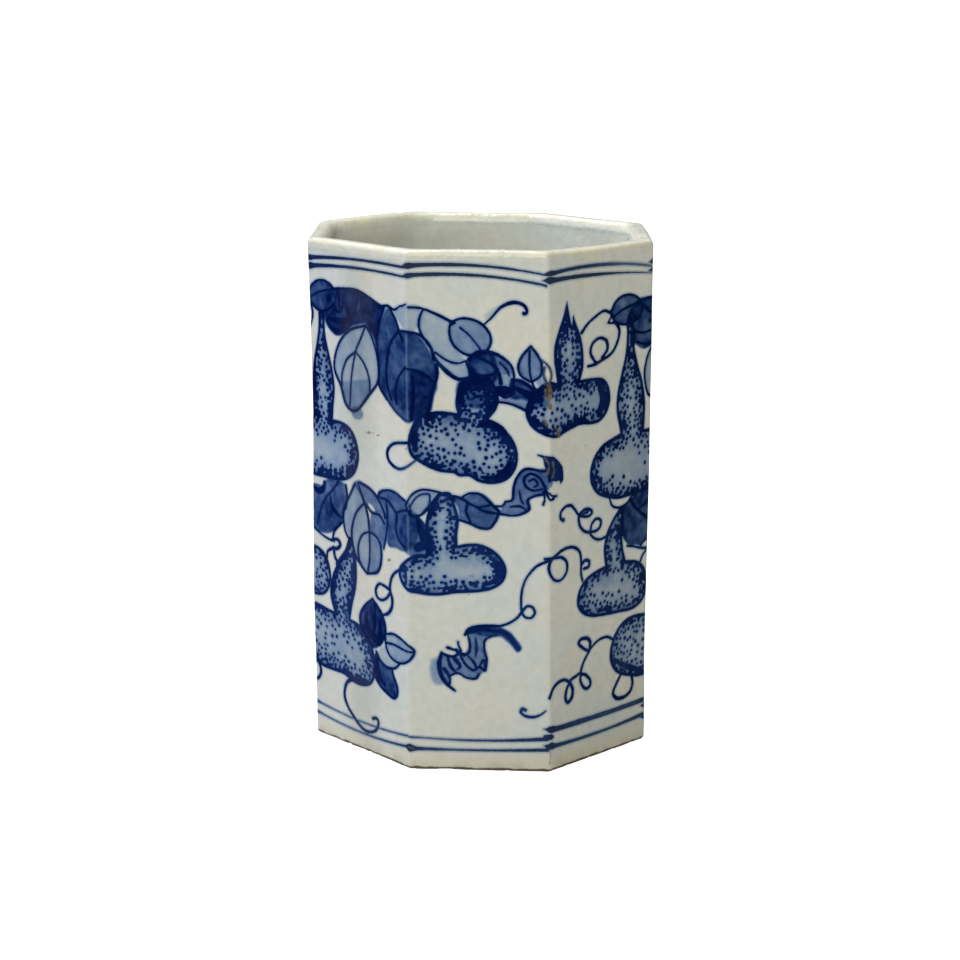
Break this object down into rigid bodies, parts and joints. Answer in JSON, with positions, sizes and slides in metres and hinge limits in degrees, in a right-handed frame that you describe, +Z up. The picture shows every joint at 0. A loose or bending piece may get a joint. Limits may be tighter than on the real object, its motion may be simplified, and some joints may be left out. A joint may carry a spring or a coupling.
{
  "type": "brush pot",
  "caption": "Octagonal glazed porcelain pot on a flat foot, open at the top, that stands on a desk and holds brushes upright.",
  "frame": {"origin": "centre of the plane that the foot stands on", "axes": "+Z up along the pot's axis; -Y square out of the wall slab named front"},
  "size_m": [0.1, 0.1, 0.153],
  "materials": {
    "painted_glaze": "glossy clear glaze over underglaze cobalt brushwork",
    "clear_glaze": "glossy clear glaze on bare white body",
    "biscuit_clay": "unglazed fired clay below, glazed on its upper face"
  },
  "bodies": {
    "root": {"wall_slab_front": "painted_glaze", "wall_slab_front_right": "painted_glaze", "wall_slab_right": "painted_glaze", "wall_slab_back_right": "painted_glaze", "wall_slab_back": "painted_glaze", "wall_slab_back_left": "painted_glaze", "wall_slab_left": "painted_glaze", "wall_slab_front_left": "painted_glaze", "corner_coil_front_to_front_right": "clear_glaze", "corner_coil_front_right_to_right": "clear_glaze", "corner_coil_right_to_back_right": "clear_glaze", "corner_coil_back_right_to_back": "clear_glaze", "corner_coil_back_to_back_left": "clear_glaze", "corner_coil_back_left_to_left": "clear_glaze", "corner_coil_left_to_front_left": "clear_glaze", "corner_coil_front_left_to_front": "clear_glaze", "floor_coil": "clear_glaze", "floor_slab": "biscuit_clay"}
  },
  "joints": []
}
